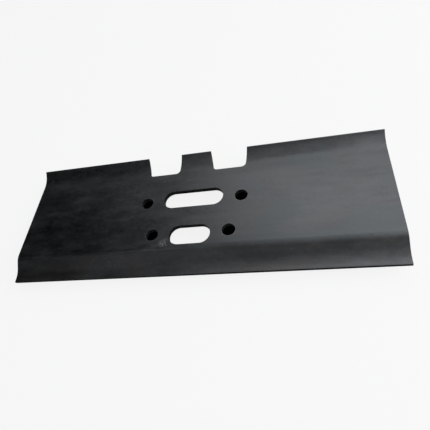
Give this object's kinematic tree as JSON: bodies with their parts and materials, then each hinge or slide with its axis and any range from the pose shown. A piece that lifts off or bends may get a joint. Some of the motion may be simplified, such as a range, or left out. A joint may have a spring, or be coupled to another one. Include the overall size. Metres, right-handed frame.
{
  "type": "excavator track shoe",
  "caption": "Rolled steel crawler track plate with grouser bars, a stepped lip, a raised notched lip, bolt holes and clean-out slots; it bolts across the track links.",
  "frame": {"origin": "on the flat link seat, in the middle of the bolt holes", "axes": "+X along the shoe, across the track; +Y towards the raised, notched lip; +Z out of the link seat, away from the ground"},
  "size_m": [0.61, 0.221, 0.0461],
  "materials": {
    "steel": "satin black-grey mill finish"
  },
  "bodies": {
    "root": {"track_shoe": "steel"}
  },
  "joints": []
}
